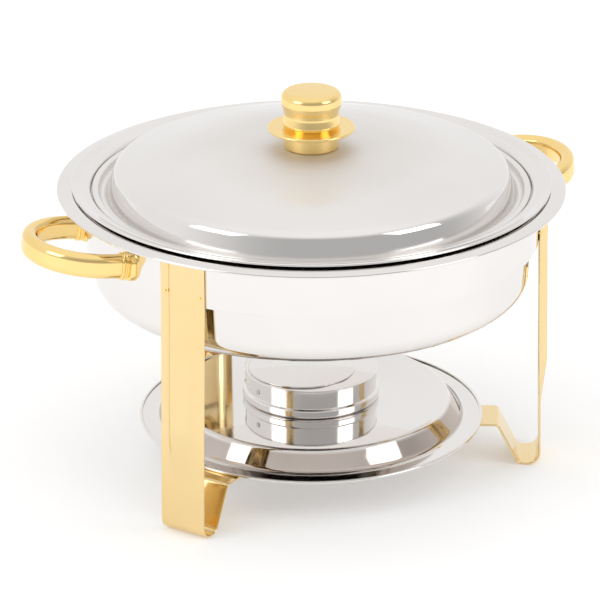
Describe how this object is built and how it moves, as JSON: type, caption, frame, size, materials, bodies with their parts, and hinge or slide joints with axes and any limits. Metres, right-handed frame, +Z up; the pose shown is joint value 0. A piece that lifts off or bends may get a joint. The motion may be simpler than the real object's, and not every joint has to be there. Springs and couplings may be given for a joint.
{
  "type": "chafing dish",
  "caption": "Round chafing dish food warmer with a domed cover and knob, nested food and water pans, and a legged stand with loop handles, a burner tray and a fuel box with a swivel damper.",
  "frame": {"origin": "on the table under the axis of the pans", "axes": "+Z up along the axis of the pans; +X towards the right-hand handle; -Y is the front, between the two front legs"},
  "size_m": [0.4282, 0.356, 0.2752],
  "materials": {
    "stainless_polished": "mirror-polished stainless steel",
    "gold_polished": "polished gold plating",
    "fastener_steel": "satin steel"
  },
  "bodies": {
    "stand": {"support_ring": "stainless_polished", "leg_front_left": "gold_polished", "leg_front_right": "gold_polished", "leg_back": "gold_polished", "leg_rivets": "gold_polished", "burner_tray": "stainless_polished", "handle_left": "gold_polished", "handle_right": "gold_polished", "ferrule_left_front": "gold_polished", "ferrule_left_back": "gold_polished", "ferrule_right_front": "gold_polished", "ferrule_right_back": "gold_polished", "handle_screws": "fastener_steel"},
    "water_pan_body": {"water_pan": "stainless_polished"},
    "food_pan_body": {"food_pan": "stainless_polished"},
    "cover_body": {"dome_cover": "stainless_polished", "knob_base": "gold_polished", "knob_collar": "gold_polished", "knob_cap": "gold_polished", "knob_washer": "fastener_steel", "knob_screw": "fastener_steel"},
    "fuel_box_body": {"fuel_box": "stainless_polished", "fuel_box_top": "stainless_polished", "damper_pivot_rivet": "fastener_steel", "fuel_box_stud": "fastener_steel"},
    "damper_body": {"damper_disc": "stainless_polished"}
  },
  "joints": [
    {"name": "water_pan_lift", "type": "slide", "parent": "stand", "child": "water_pan_body", "axis": [0, 0, 1], "range_m": [0, 0.09]},
    {"name": "food_pan_lift", "type": "slide", "parent": "water_pan_body", "child": "food_pan_body", "axis": [0, 0, 1], "range_m": [0, 0.075]},
    {"name": "cover_lift", "type": "slide", "parent": "food_pan_body", "child": "cover_body", "axis": [0, 0, 1], "range_m": [0, 0.06]},
    {"name": "fuel_box_lift", "type": "slide", "parent": "stand", "child": "fuel_box_body", "axis": [0, 0, 1], "range_m": [0, 0.05]},
    {"name": "damper_swing", "type": "hinge", "parent": "fuel_box_body", "child": "damper_body", "pos_m": [0.0151, 0.0259, 0.068], "axis": [0, 0, 1], "range_deg": [0, 150]}
  ]
}
